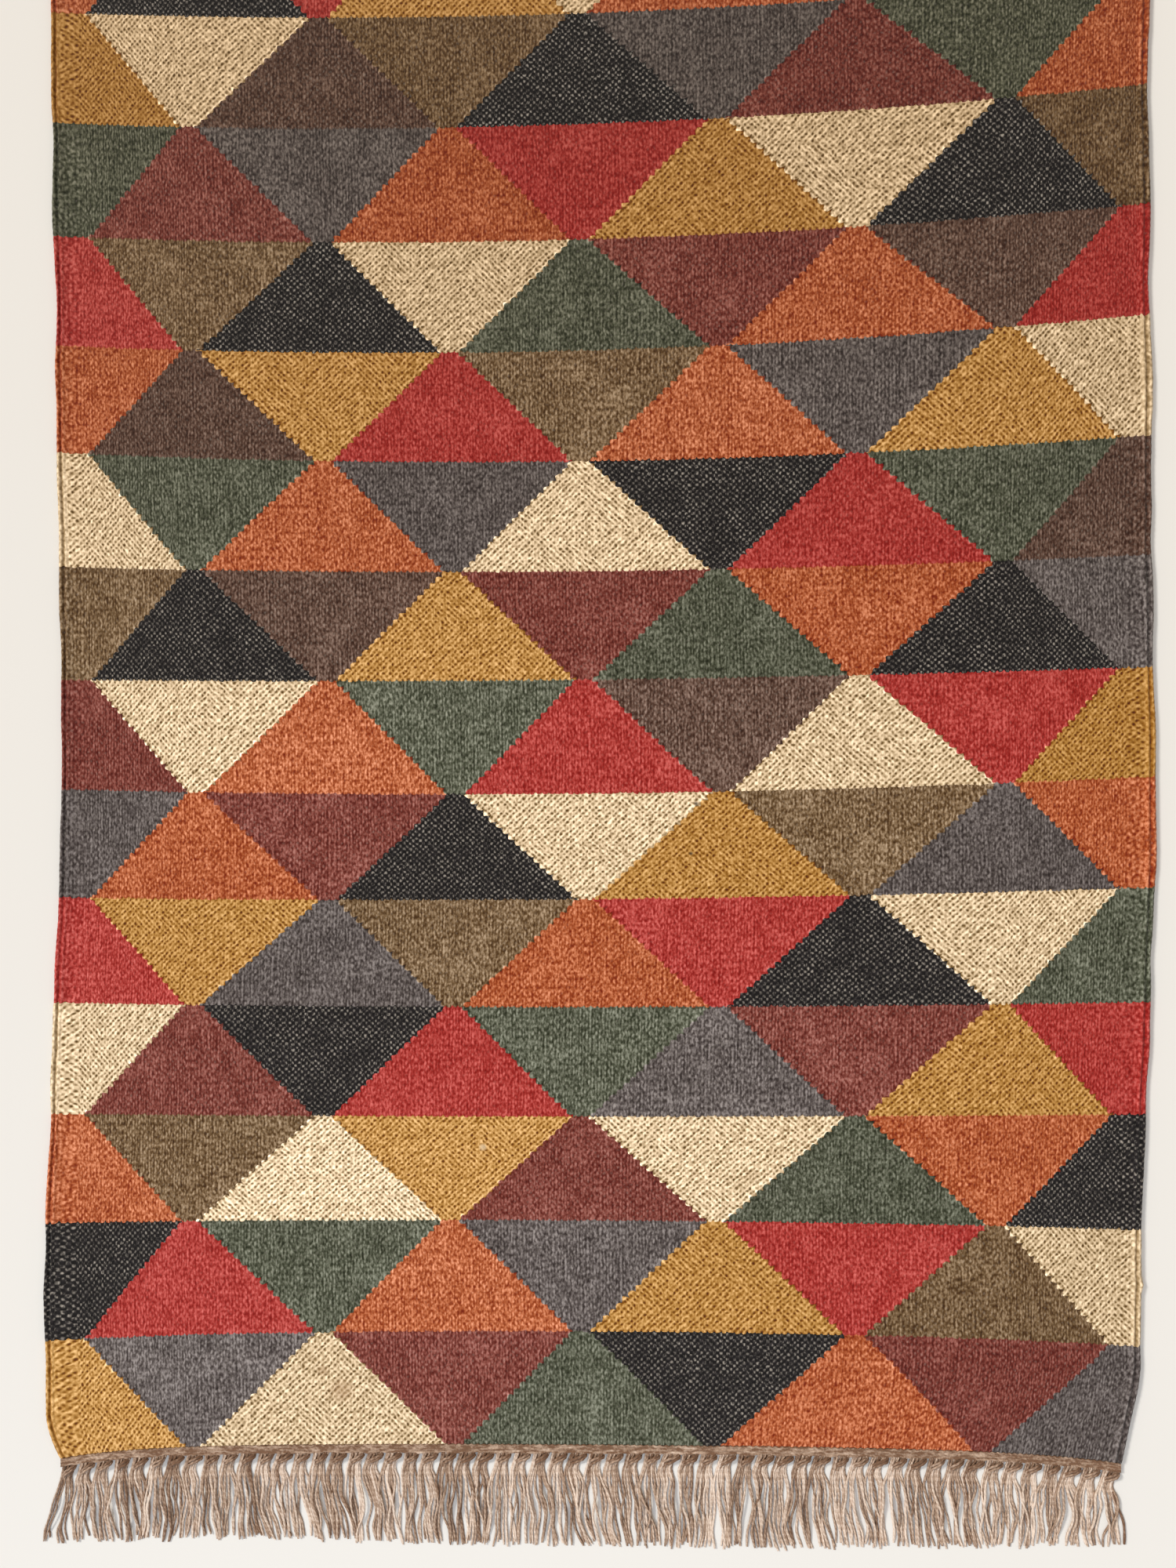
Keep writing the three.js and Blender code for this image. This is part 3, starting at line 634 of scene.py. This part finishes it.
# Light fibres and painted highlight on the tops of the beads, more of them in some patches than in others,
# and most in the black.
fleck_place = add_wool("VectorMath", mapped, (*FLECK_SCALE, 0), operation="MULTIPLY")
fleck_and_highlight = add_wool("TexNoise", fleck_place, None, 1.0, 1.0, noise_dimensions="2D")
fleck_and_highlight = add_wool("MapRange", fleck_and_highlight, *FLECK_RANGE, *FLECK_SHARES)
lint = add_wool("TexNoise", mapped, None, LINT_SCALE, 2.0, noise_dimensions="2D")
lint = add_wool("MapRange", lint, *LINT_RANGE, *LINT_SHARES)
bead_top = add_wool("Math", rising_gap, falling_gap, operation="ADD")
bead_top = add_wool("MapRange", bead_top, 0, FLECK_GAP, 1, 0)
for share in (lint, flecks, bead_top):
    fleck_and_highlight = add_wool("Math", fleck_and_highlight, share, operation="MULTIPLY")
colours = (colour, (*linear(FLECK_AND_HIGHLIGHT_COLOUR), 1))
colour = add_wool("Mix", fleck_and_highlight, *(None,) * 5, *colours, output=2, data_type="RGBA")

# Two faint brown stains on the cream, and a slub of light fibre and two burrs of dark fibre in the mustard.
for middle, radius, mark_colour, strength in MARKS:
    away = add_wool("VectorMath", mapped, (*middle, 0), operation="DISTANCE", output=1)
    mask = add_wool("MapRange", away, radius, radius * MARK_CORE, 0, strength)
    colours = (colour, (*linear(mark_colour), 1))
    colour = add_wool("Mix", mask, *(None,) * 5, *colours, output=2, data_type="RGBA")

# The beads stand up from their gaps by half a millimetre, and no two are as high.
relief = add_wool("Math", bead_gap, -1, 1, operation="MULTIPLY_ADD")
relief = add_wool("Math", rib_gap, RIB_RELIEF, relief, operation="MULTIPLY_ADD")
relief = add_wool("Math", by_bead, BEAD_RELIEF, relief, operation="MULTIPLY_ADD")
bump = add_wool("Bump", BUMP_STRENGTH, BEAD_HEIGHT * MM, None, relief)
surface = add_wool("BsdfPrincipled", colour, None, WOOL_ROUGHNESS, None, None, bump)
surface.node.inputs["Sheen Weight"].default_value = WOOL_SHEEN
surface.node.inputs["Specular IOR Level"].default_value = WOOL_SHINE
add_wool("OutputMaterial", surface)

cloth.data.materials.append(wool)
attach(cloth, "root")
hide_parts("woven_cloth")

# The end bands and fringes, of jute. Three picks of jute lock the wool. Past them the warp ends are drawn
# together in bunches of eight, each hitched over by two strands at a slant, and hang as loose two-ply yarns
# that lie on the floor. Tones run from 0, dark, to 1, light.
BAND_GAP = 0.25
BAND_DEPTH = 8.2
BAND_FRONT = BAND_GAP + BAND_DEPTH
BAND_PICKS = 3
BAND_HEIGHT, BAND_LIP = 2.7, 0.9
BAND_BEAD = 0.6
BAND_INSET, BAND_END_GAP = 0.6, 0.3
BAND_TONE = 0.08
BAND_STRAND = (0.25, 20)
BAND_MOTTLE = ((9.0, 1.5, 0.5), (2.5, 1.2, 0.4))
BAND_WANDER = ((14.0, 0.9), (4.5, 1.3))
LINES_PER_BAND_PICK = 4

BUNCH_COUNT = 57
YARNS_PER_BUNCH = 8
YARNS_ABOVE = (1, 3, 6)
YARN_RADIUS, YARN_TIP = 1.12, 0.7
YARN_RADIUS_SHARES = (0.8, 1.1)
YARN_FLATNESS = 0.55
YARN_SIDES = 5
YARN_TONE, YARN_TONE_SPREAD, BUNCH_TONE_SPREAD = 0.6, 0.35, 0.12
LEAST_HEIGHT, REST_CLEARANCE = 0.02, 0.05
PLY_LOBE = 0.13
PLY_TURN = 9.0
POINTS_PER_STATION = 3

# Down a bunch: the distance from the band, how far its middle leans right, the spread from yarn to yarn, and
# how high the yarns that lie below and above are. Past the fork each half hangs its own way.
BUNCH_STATIONS = (
    (-2.0, 0.3, 1.80, 1.7, 2.0),
    (0.6, 0.0, 1.60, 1.5, 2.4),
    (5.0, -1.9, 1.40, 0.9, 2.1),
    (10.0, -3.5, 1.30, 0.8, 1.6),
    (15.0, -4.2, 1.55, 0.8, 1.2),
)
HALF_LANE = 3.9
LANE_SPREAD = 1.95
FORK_DISTANCE = 15
FORK_SLANT = -3.9
FRINGE_LENGTH = 71
LOCK_LENGTH = FRINGE_LENGTH - FORK_DISTANCE
LENGTH_UNEVENNESS = 2.4
LONGER = ((0.04, 0.2, 0.3, 0.36, 0.68, 0.78, 0.9, 0.97), (-2, 0, 3, 5, 6, 2.6, 1.8, -2))
GATHER_REACH, GATHER_WIDTH, GATHER_LENGTH, GATHER_START = 6.5, 9, 50, 2.5
TIP_UNEVENNESS = 1.6
HANGING_SHARES = (0.14, 0.3, 0.46, 0.62, 0.8, 1.0)
LOCK_RETURN = 4.0
LEAN_REACH, LEAN_TURN, LEAN_BEND = 4.2, 0.21, 1.4
SWAY_REACH, SWAY_TURN = 1.6, 0.33
SPLAY_LEFT = (20, 2.4)
SHORTER_LEFT = (8, 2.4)
SPLAY_RIGHT = (2, 1.1)
SHORTER_RIGHT = (8, 12)
THINNER_LEFT, THIN_REACH, DARKER_LEFT = 0.3, 1.6, 0.35
LOOSE_STRAND = ((0.5, 25, 1.2), (4.0, 36, 1.3), (8.5, 47, 1.1), (10.0, 57, 1.1), (9.8, 67, 1.1))
LOOSE_STRAND_INSET = 7
SLANT_UNEVENNESS = 0.35
STRAY_REACH, LIFT_REACH = 1.5, 0.4
WAVE_REACH, WAVE_TURN = 0.9, 9
CROSSING_SHARE, CROSSING_REACH = 0.3, 5.0
CROSSING_LIFT, CROSSING_TURN = 2.2, 1.1

# A hitch, from where it leaves the band: across from the bunch's middle, distance from the band, and height.
HITCH_RADIUS = 1.2
HITCH_STRANDS, HITCH_SHIFT, HITCH_BEND = (0.0, 2.1), 0.35, 0.25
HITCH_TONE, HITCH_TONE_SPREAD = 0.2, 0.15
HITCH = ((5.0, -1.2, 1.4), (4.4, 0.4, 3.0), (2.0, 1.6, 4.05), (-1.4, 3.2, 4.1), (-4.4, 5.2, 3.1),
         (-5.9, 7.4, 1.4), (-6.0, 9.6, 1.2))

UNEVEN_WAVES = ((2.39, 0.6), (5.13, 0.4))
NEAR_SEED, FAR_SEED = 1.7, 4.2
NEAR_DRAW, FAR_DRAW = 7, 11


def uneven_at(number, seed):
    """A repeatable unevenness between -1 and 1."""
    return sum(share * math.sin(turn * (number + seed)) for turn, share in UNEVEN_WAVES)


def curve_through(stations, steps):
    """Points of a smooth curve through the stations, with so many steps between each two of them."""
    stations = np.asarray(stations, float)
    ends = np.concatenate([[2 * stations[0] - stations[1]], stations, [2 * stations[-1] - stations[-2]]])
    share = np.linspace(0, 1, steps, endpoint=False)[:, None]
    curve = [
        (2 * b + (c - a) * share + (2 * a - 5 * b + 4 * c - d) * share**2
         + (3 * b - a - 3 * c + d) * share**3) / 2
        for a, b, c, d in zip(ends, ends[1:], ends[2:], ends[3:])
    ]
    return np.concatenate([*curve, stations[-1:]])


class JuteEnd:
    """One end of the rug: its points, faces, strand places and tones, with distance measured outwards."""

    def __init__(self, far):
        self.far = far
        self.place = ROW_COUNT if far else 0
        self.outward = 1 if far else -1
        self.seed = FAR_SEED if far else NEAR_SEED
        self.random = np.random.default_rng(FAR_DRAW if far else NEAR_DRAW)
        self.left, self.right = (float(edge) for edge in selvedges(self.place))
        self.pitch = (self.right - self.left) / BUNCH_COUNT
        self.points, self.faces, self.strand, self.tones = [], [], [], []

    def add(self, across, distance, height, strand, tone):
        """Adds points, given across the rug, out from the cloth's end and up, and returns their numbers."""
        start = len(self.points)
        y = weft_y(self.place, across) + self.outward * distance
        self.points.extend(np.stack([across, y, height], 1))
        self.strand.extend(strand)
        self.tones.extend(np.broadcast_to(tone, len(across)))
        return start + np.arange(len(across))

    def face(self, corners):
        """Adds a face that is listed as the near end has it. The far end is its mirror image."""
        corners = [int(corner) for corner in corners]
        self.faces.append(corners[::-1] if self.far else corners)

    def yarn(self, path, radius, turn, tone):
        """A two-ply yarn along a path of (across, distance, height), with the lobes of its plies twisting."""
        along = np.gradient(path, axis=0)
        along /= np.linalg.norm(along, axis=1)[:, None]
        side = np.cross(along, (0, 0, 1))
        side /= np.linalg.norm(side, axis=1)[:, None]
        above = np.cross(side, along)
        length = np.concatenate([[0], np.cumsum(np.linalg.norm(np.diff(path, axis=0), axis=1))])
        angles = np.arange(YARN_SIDES) * 2 * math.pi / YARN_SIDES
        twist = turn + 2 * math.pi * length[:, None] / PLY_TURN
        girth = radius[:, None] * (1 + PLY_LOBE * np.cos(2 * (angles - twist)))
        ring = (path[:, None] + girth[..., None] * np.cos(angles)[:, None] * side[:, None]
                + YARN_FLATNESS * girth[..., None] * np.sin(angles)[:, None] * above[:, None])
        ring[..., 2] = np.maximum(ring[..., 2], LEAST_HEIGHT)
        around = np.broadcast_to(np.arange(YARN_SIDES) / YARN_SIDES, girth.shape)
        strand = np.stack([around, np.broadcast_to(length[:, None], girth.shape)], 2).reshape(-1, 2)
        flat = ring.reshape(-1, 3)
        numbers = self.add(flat[:, 0], flat[:, 1], flat[:, 2], strand, tone).reshape(girth.shape)
        for first, second in zip(numbers, numbers[1:]):
            for i in range(YARN_SIDES):
                j = (i + 1) % YARN_SIDES
                self.face((first[i], second[i], second[j], first[j]))
        self.face(numbers[0])
        self.face(numbers[-1][::-1])

    def band(self):
        """The jute picks: beads over a low strip whose back fits the cloth's scallops."""
        warps = np.concatenate([[0], half_warps, [WARP_COUNT]])
        inset_ends = (self.left + BAND_INSET, self.right - BAND_INSET)
        x = np.concatenate([inset_ends[:1], warp_x(half_warps, self.place), inset_ends[1:]])
        back = np.concatenate([[BAND_END_GAP], scallops(self.far), [BAND_END_GAP]]) + BAND_GAP
        front = BAND_FRONT + np.array([wander(a, self.seed * 100, BAND_WANDER) for a in x])
        lines = []
        last_line = BAND_PICKS * LINES_PER_BAND_PICK
        for line in range(last_line + 1):
            share = line / last_line
            pick = min(line // LINES_PER_BAND_PICK, BAND_PICKS - 1)
            out = abs((line / LINES_PER_BAND_PICK - pick) * 2 - 1)
            over = (np.floor(warps).astype(int) + pick + self.far) % 2
            middle = np.floor(warps) + np.where(over == 0, 0.5, np.where(warps % 1 < 0.5, -0.5, 1.5))
            beside = np.clip(np.abs(warps - middle), 0, 1)
            height = BAND_HEIGHT + BAND_BEAD * (1 - beside**2) * (1 - out**2)
            height = height - (BAND_LIP if line in (0, last_line) else 0)
            distance = back + (front - back) * share
            tones = [BAND_TONE + sum(reach * noise.noise(Vector((a / length, b / width, self.seed)))
                                     for length, width, reach in BAND_MOTTLE) for a, b in zip(x, distance)]
            lines.append(self.add(x, distance, height, np.tile(BAND_STRAND, (len(x), 1)), tones))
        for distance in (front, back):
            lines.append(self.add(x, distance, 0 * x, np.tile(BAND_STRAND, (len(x), 1)), BAND_TONE))
        for low, high in zip(lines, lines[1:] + lines[:1]):
            for i in range(len(x) - 1):
                self.face((low[i], high[i], high[i + 1], low[i + 1]))
        self.face([line[0] for line in lines][::-1])
        self.face([line[-1] for line in lines])

    def hanging(self, bunch, order, middle):
        """The stations of a warp end past its bunch's fork, out to its tip."""
        half = order // (YARNS_PER_BUNCH // 2)
        number = 2 * bunch + half
        from_right = 2 * BUNCH_COUNT - 1 - number
        left_splay, shorter_left = (reach * math.exp(-number / fade)
                                    for reach, fade in (SPLAY_LEFT, SHORTER_LEFT))
        right_splay, shorter_right = (reach * math.exp(-from_right / fade)
                                      for reach, fade in (SPLAY_RIGHT, SHORTER_RIGHT))
        splay = right_splay - left_splay
        shortening = shorter_left + shorter_right
        length = LOCK_LENGTH - shortening + LENGTH_UNEVENNESS * uneven_at(number, self.seed)
        length += TIP_UNEVENNESS * self.random.uniform(-1, 1)
        length += float(np.interp(number / BUNCH_COUNT / 2, *LONGER))
        lean = LOCK_RETURN + LEAN_REACH * math.sin(number * LEAN_TURN + self.seed) + splay
        in_half = order % (YARNS_PER_BUNCH // 2) - (YARNS_PER_BUNCH // 2 - 1) / 2
        lane = middle + FORK_SLANT + HALF_LANE * (2 * half - 1) + LANE_SPREAD * in_half
        stray = np.cumsum(self.random.normal(0, STRAY_REACH / 2, len(HANGING_SHARES)))
        crossing = self.random.choice((-1, 1)) * (self.random.random() < CROSSING_SHARE)
        phase = self.random.uniform(0, 2 * math.pi)
        lifts = np.maximum(0, self.random.normal(0, LIFT_REACH, len(HANGING_SHARES)))
        resting = YARN_RADIUS * YARN_FLATNESS + REST_CLEARANCE
        stations = []
        for share, off, lift in zip(HANGING_SHARES, stray, lifts):
            sway = SWAY_REACH * share * math.sin(share * math.pi * 2 + number * SWAY_TURN)
            wave = WAVE_REACH * math.sin(share * WAVE_TURN + phase) + crossing * CROSSING_REACH * share
            place = Vector((lane / GATHER_WIDTH, share * length / GATHER_LENGTH, self.seed))
            gather = GATHER_REACH * min(1, GATHER_START * share) * noise.noise(place)
            across = lane + lean * share**LEAN_BEND + sway + off * share**0.5 + wave + gather
            over = abs(crossing) * CROSSING_LIFT * math.sin(math.pi * min(share * CROSSING_TURN, 1))
            stations.append((across, BAND_FRONT + FORK_DISTANCE + length * share, resting + lift + over))
        return stations

    def fringe(self):
        """The bunches of warp ends with their hitches, and a loose strand at the near right corner."""
        for bunch in range(BUNCH_COUNT):
            middle = self.left + self.pitch * (bunch + 0.5)
            slant = 1 + SLANT_UNEVENNESS * uneven_at(bunch, self.seed)
            bunch_tone = self.random.uniform(-BUNCH_TONE_SPREAD, BUNCH_TONE_SPREAD)
            at_corner = math.exp(-bunch / THIN_REACH)
            for order in range(YARNS_PER_BUNCH):
                offset = order - (YARNS_PER_BUNCH - 1) / 2
                raised = order in YARNS_ABOVE
                stations = [
                    (middle + lean * slant + spread * offset, BAND_FRONT + out, over if raised else under)
                    for out, lean, spread, under, over in BUNCH_STATIONS
                ]
                stations += self.hanging(bunch, order, middle)
                path = curve_through(stations, POINTS_PER_STATION)
                own_tone = self.random.uniform(-YARN_TONE_SPREAD, YARN_TONE_SPREAD)
                tone = YARN_TONE + bunch_tone + own_tone - DARKER_LEFT * at_corner
                radius = YARN_RADIUS * self.random.uniform(*YARN_RADIUS_SHARES)
                radius = np.full(len(path), radius * (1 - THINNER_LEFT * at_corner))
                radius[-1] *= YARN_TIP
                self.yarn(path, radius, self.random.uniform(0, math.pi), tone)
            for strand in HITCH_STRANDS:
                bend = self.random.normal(0, HITCH_BEND, (len(HITCH), 2))
                shift = middle + HITCH_SHIFT * strand
                stations = [
                    (across * slant**0.5 + a + shift, BAND_FRONT + distance + strand + b, height)
                    for (across, distance, height), (a, b) in zip(HITCH, bend)
                ]
                path = curve_through(stations, POINTS_PER_STATION)
                turn = self.random.uniform(0, math.pi)
                tone = HITCH_TONE + bunch_tone + self.random.uniform(-HITCH_TONE_SPREAD, HITCH_TONE_SPREAD)
                self.yarn(path, np.full(len(path), HITCH_RADIUS), turn, tone)
        if not self.far:
            stations = [(self.right - LOOSE_STRAND_INSET + across, *rest) for across, *rest in LOOSE_STRAND]
            path = curve_through(stations, POINTS_PER_STATION)
            self.yarn(path, np.full(len(path), YARN_RADIUS), 0, 0.0)


# Jute, spun coarse and left undyed: matt brown with a pinkish cast, each yarn of its own shade, its two plies
# showing as slanting ridges in bump and in painted light and shade. Each strand is painted with shade along
# its sides and near its root.
JUTE_DARK, JUTE_MIDDLE, JUTE_LIGHT = "#7A5A44", "#BFA48F", "#F4E0D0"
JUTE_ROUGHNESS, JUTE_SHEEN, JUTE_SHINE = 0.85, 0.15, 0.25
JUTE_RELIEF, JUTE_BUMP = 0.3, 0.5
SIDE_SHADE_TONE, SIDE_START = -0.5, 0.4
ROOT_SHADE_TONE, ROOT_LENGTHS = -0.3, (1.0, 9.0)
FIBRE_SCALE, PATCH_SCALE = 700.0, 90.0
FIBRE_TONE, PATCH_TONE, PLY_LIGHT_AND_SHADE_TONE = 0.7, 0.6, 0.1

jute = bpy.data.materials.new("undyed_spun_jute")
jute.use_nodes = True
jute.node_tree.nodes.clear()
add_jute = functools.partial(add_node, jute.node_tree)
strand = add_jute("SeparateXYZ", add_jute("UVMap", uv_map="Strand"))
around, along = strand, strand.node.outputs[1]
ply = add_jute("Math", along, 2 * math.pi / PLY_TURN * 2, operation="MULTIPLY")
ply = add_jute("Math", around, 4 * math.pi, ply, operation="MULTIPLY_ADD")
ply = add_jute("Math", ply, operation="COSINE")
coordinates = add_jute("TexCoord", output=3)
fibres = add_jute("TexNoise", coordinates, None, FIBRE_SCALE, 3.0)
patches = add_jute("TexNoise", coordinates, None, PATCH_SCALE, 2.0)
# Painted shade along each strand's sides, and near its root where it leaves the band.
side = add_jute("Math", add_jute("Math", around, 2 * math.pi, operation="MULTIPLY"), operation="COSINE")
side = add_jute("MapRange", add_jute("Math", side, side, operation="MULTIPLY"), SIDE_START, 1.0, 0.0, SIDE_SHADE_TONE)
tone = add_jute("Attribute", attribute_name="tone", output=2)
root = add_jute("MapRange", along, *ROOT_LENGTHS, ROOT_SHADE_TONE, 0.0)
tone = add_jute("Math", tone, add_jute("Math", side, root, operation="ADD"), operation="ADD")
for value, strength in ((fibres, FIBRE_TONE), (patches, PATCH_TONE), (ply, PLY_LIGHT_AND_SHADE_TONE)):
    middle = 0 if value is ply else 0.5
    tone = add_jute("Math", add_jute("Math", value, middle, operation="SUBTRACT"), strength, tone,
                    operation="MULTIPLY_ADD")
jute_colour = (*linear(JUTE_DARK), 1)
for low, high, shade_colour in ((0.0, 0.5, JUTE_MIDDLE), (0.5, 1.0, JUTE_LIGHT)):
    share = add_jute("MapRange", tone, low, high, 0.0, 1.0)
    colours = (jute_colour, (*linear(shade_colour), 1))
    jute_colour = add_jute("Mix", share, *(None,) * 5, *colours, output=2, data_type="RGBA")
jute_relief = add_jute("Math", ply, 0.5, fibres, operation="MULTIPLY_ADD")
jute_bump = add_jute("Bump", JUTE_BUMP, JUTE_RELIEF * MM, None, jute_relief)
jute_surface = add_jute("BsdfPrincipled", jute_colour, None, None, None, None, jute_bump)
jute_surface.node.inputs["Roughness"].default_value = JUTE_ROUGHNESS
jute_surface.node.inputs["Sheen Weight"].default_value = JUTE_SHEEN
jute_surface.node.inputs["Specular IOR Level"].default_value = JUTE_SHINE
add_jute("OutputMaterial", jute_surface)

for far, name, node in ((False, "near_fringe", "near_end_fringe"), (True, "far_fringe", "far_end_fringe")):
    end = JuteEnd(far)
    end.band()
    end.fringe()
    fringe = new_piece(name, np.array(end.points), end.faces, {"Strand": np.array(end.strand)})
    tones = fringe.data.attributes.new("tone", "FLOAT", "POINT")
    tones.data.foreach_set("value", np.array(end.tones, np.float32))
    fringe.data.materials.append(jute)
    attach(fringe, "root")
    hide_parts(node)

# The studio: a pale matt floor under an even warm sky, a soft low light from the left that gives the
# right-hand edge its shadow, and a broad lamp at the near end, a little cooler, that lights that end most.
FLOOR_SIDE = 8.0
FLOOR_COLOUR, FLOOR_ROUGHNESS = "#F0EFED", 0.9
SKY_COLOUR, SKY_STRENGTH = "#FFF3E4", 0.52
WINDOW_COLOUR, WINDOW_STRENGTH, WINDOW_SOFTNESS = "#FFFAF0", 2.18, 12
WINDOW_DIRECTION = (0.9, -0.5, -0.75)
LAMP_COLOUR, LAMP_PLACE, LAMP_SIZE, LAMP_POWER = "#C4E0FF", (-0.3, -2.1, 1.8), 1.6, 16.0

floor_mesh = bpy.data.meshes.new("floor")
half = FLOOR_SIDE / 2
floor_corners = [(-half, -half, 0), (half, -half, 0), (half, half, 0), (-half, half, 0)]
floor_mesh.from_pydata(floor_corners, [], [(0, 1, 2, 3)])
floor = bpy.data.objects.new("floor", floor_mesh)
bpy.context.scene.collection.objects.link(floor)
plaster = bpy.data.materials.new("matt_pale_floor")
plaster.use_nodes = True
plaster.node_tree.nodes.clear()
add_floor = functools.partial(add_node, plaster.node_tree)
floor_surface = add_floor("BsdfPrincipled", (*linear(FLOOR_COLOUR), 1))
floor_surface.node.inputs["Roughness"].default_value = FLOOR_ROUGHNESS
add_floor("OutputMaterial", floor_surface)
floor_mesh.materials.append(plaster)

sky = bpy.data.worlds.new("studio")
sky.use_nodes = True
background = sky.node_tree.nodes["Background"]
background.inputs["Color"].default_value = (*linear(SKY_COLOUR), 1)
background.inputs["Strength"].default_value = SKY_STRENGTH
bpy.context.scene.world = sky

window_light = bpy.data.lights.new("window", "SUN")
window_light.energy = WINDOW_STRENGTH
window_light.angle = math.radians(WINDOW_SOFTNESS)
window_light.color = linear(WINDOW_COLOUR)
window = bpy.data.objects.new("window", window_light)
window.rotation_euler = Vector(WINDOW_DIRECTION).to_track_quat("-Z", "Y").to_euler()
bpy.context.scene.collection.objects.link(window)

lamp_light = bpy.data.lights.new("lamp", "AREA")
lamp_light.size = LAMP_SIZE
lamp_light.energy = LAMP_POWER
lamp_light.color = linear(LAMP_COLOUR)
lamp = bpy.data.objects.new("lamp", lamp_light)
lamp.location = LAMP_PLACE
lamp.rotation_euler = (-Vector(LAMP_PLACE)).to_track_quat("-Z", "Y").to_euler()
bpy.context.scene.collection.objects.link(lamp)
bpy.context.scene.view_settings.view_transform = "Standard"
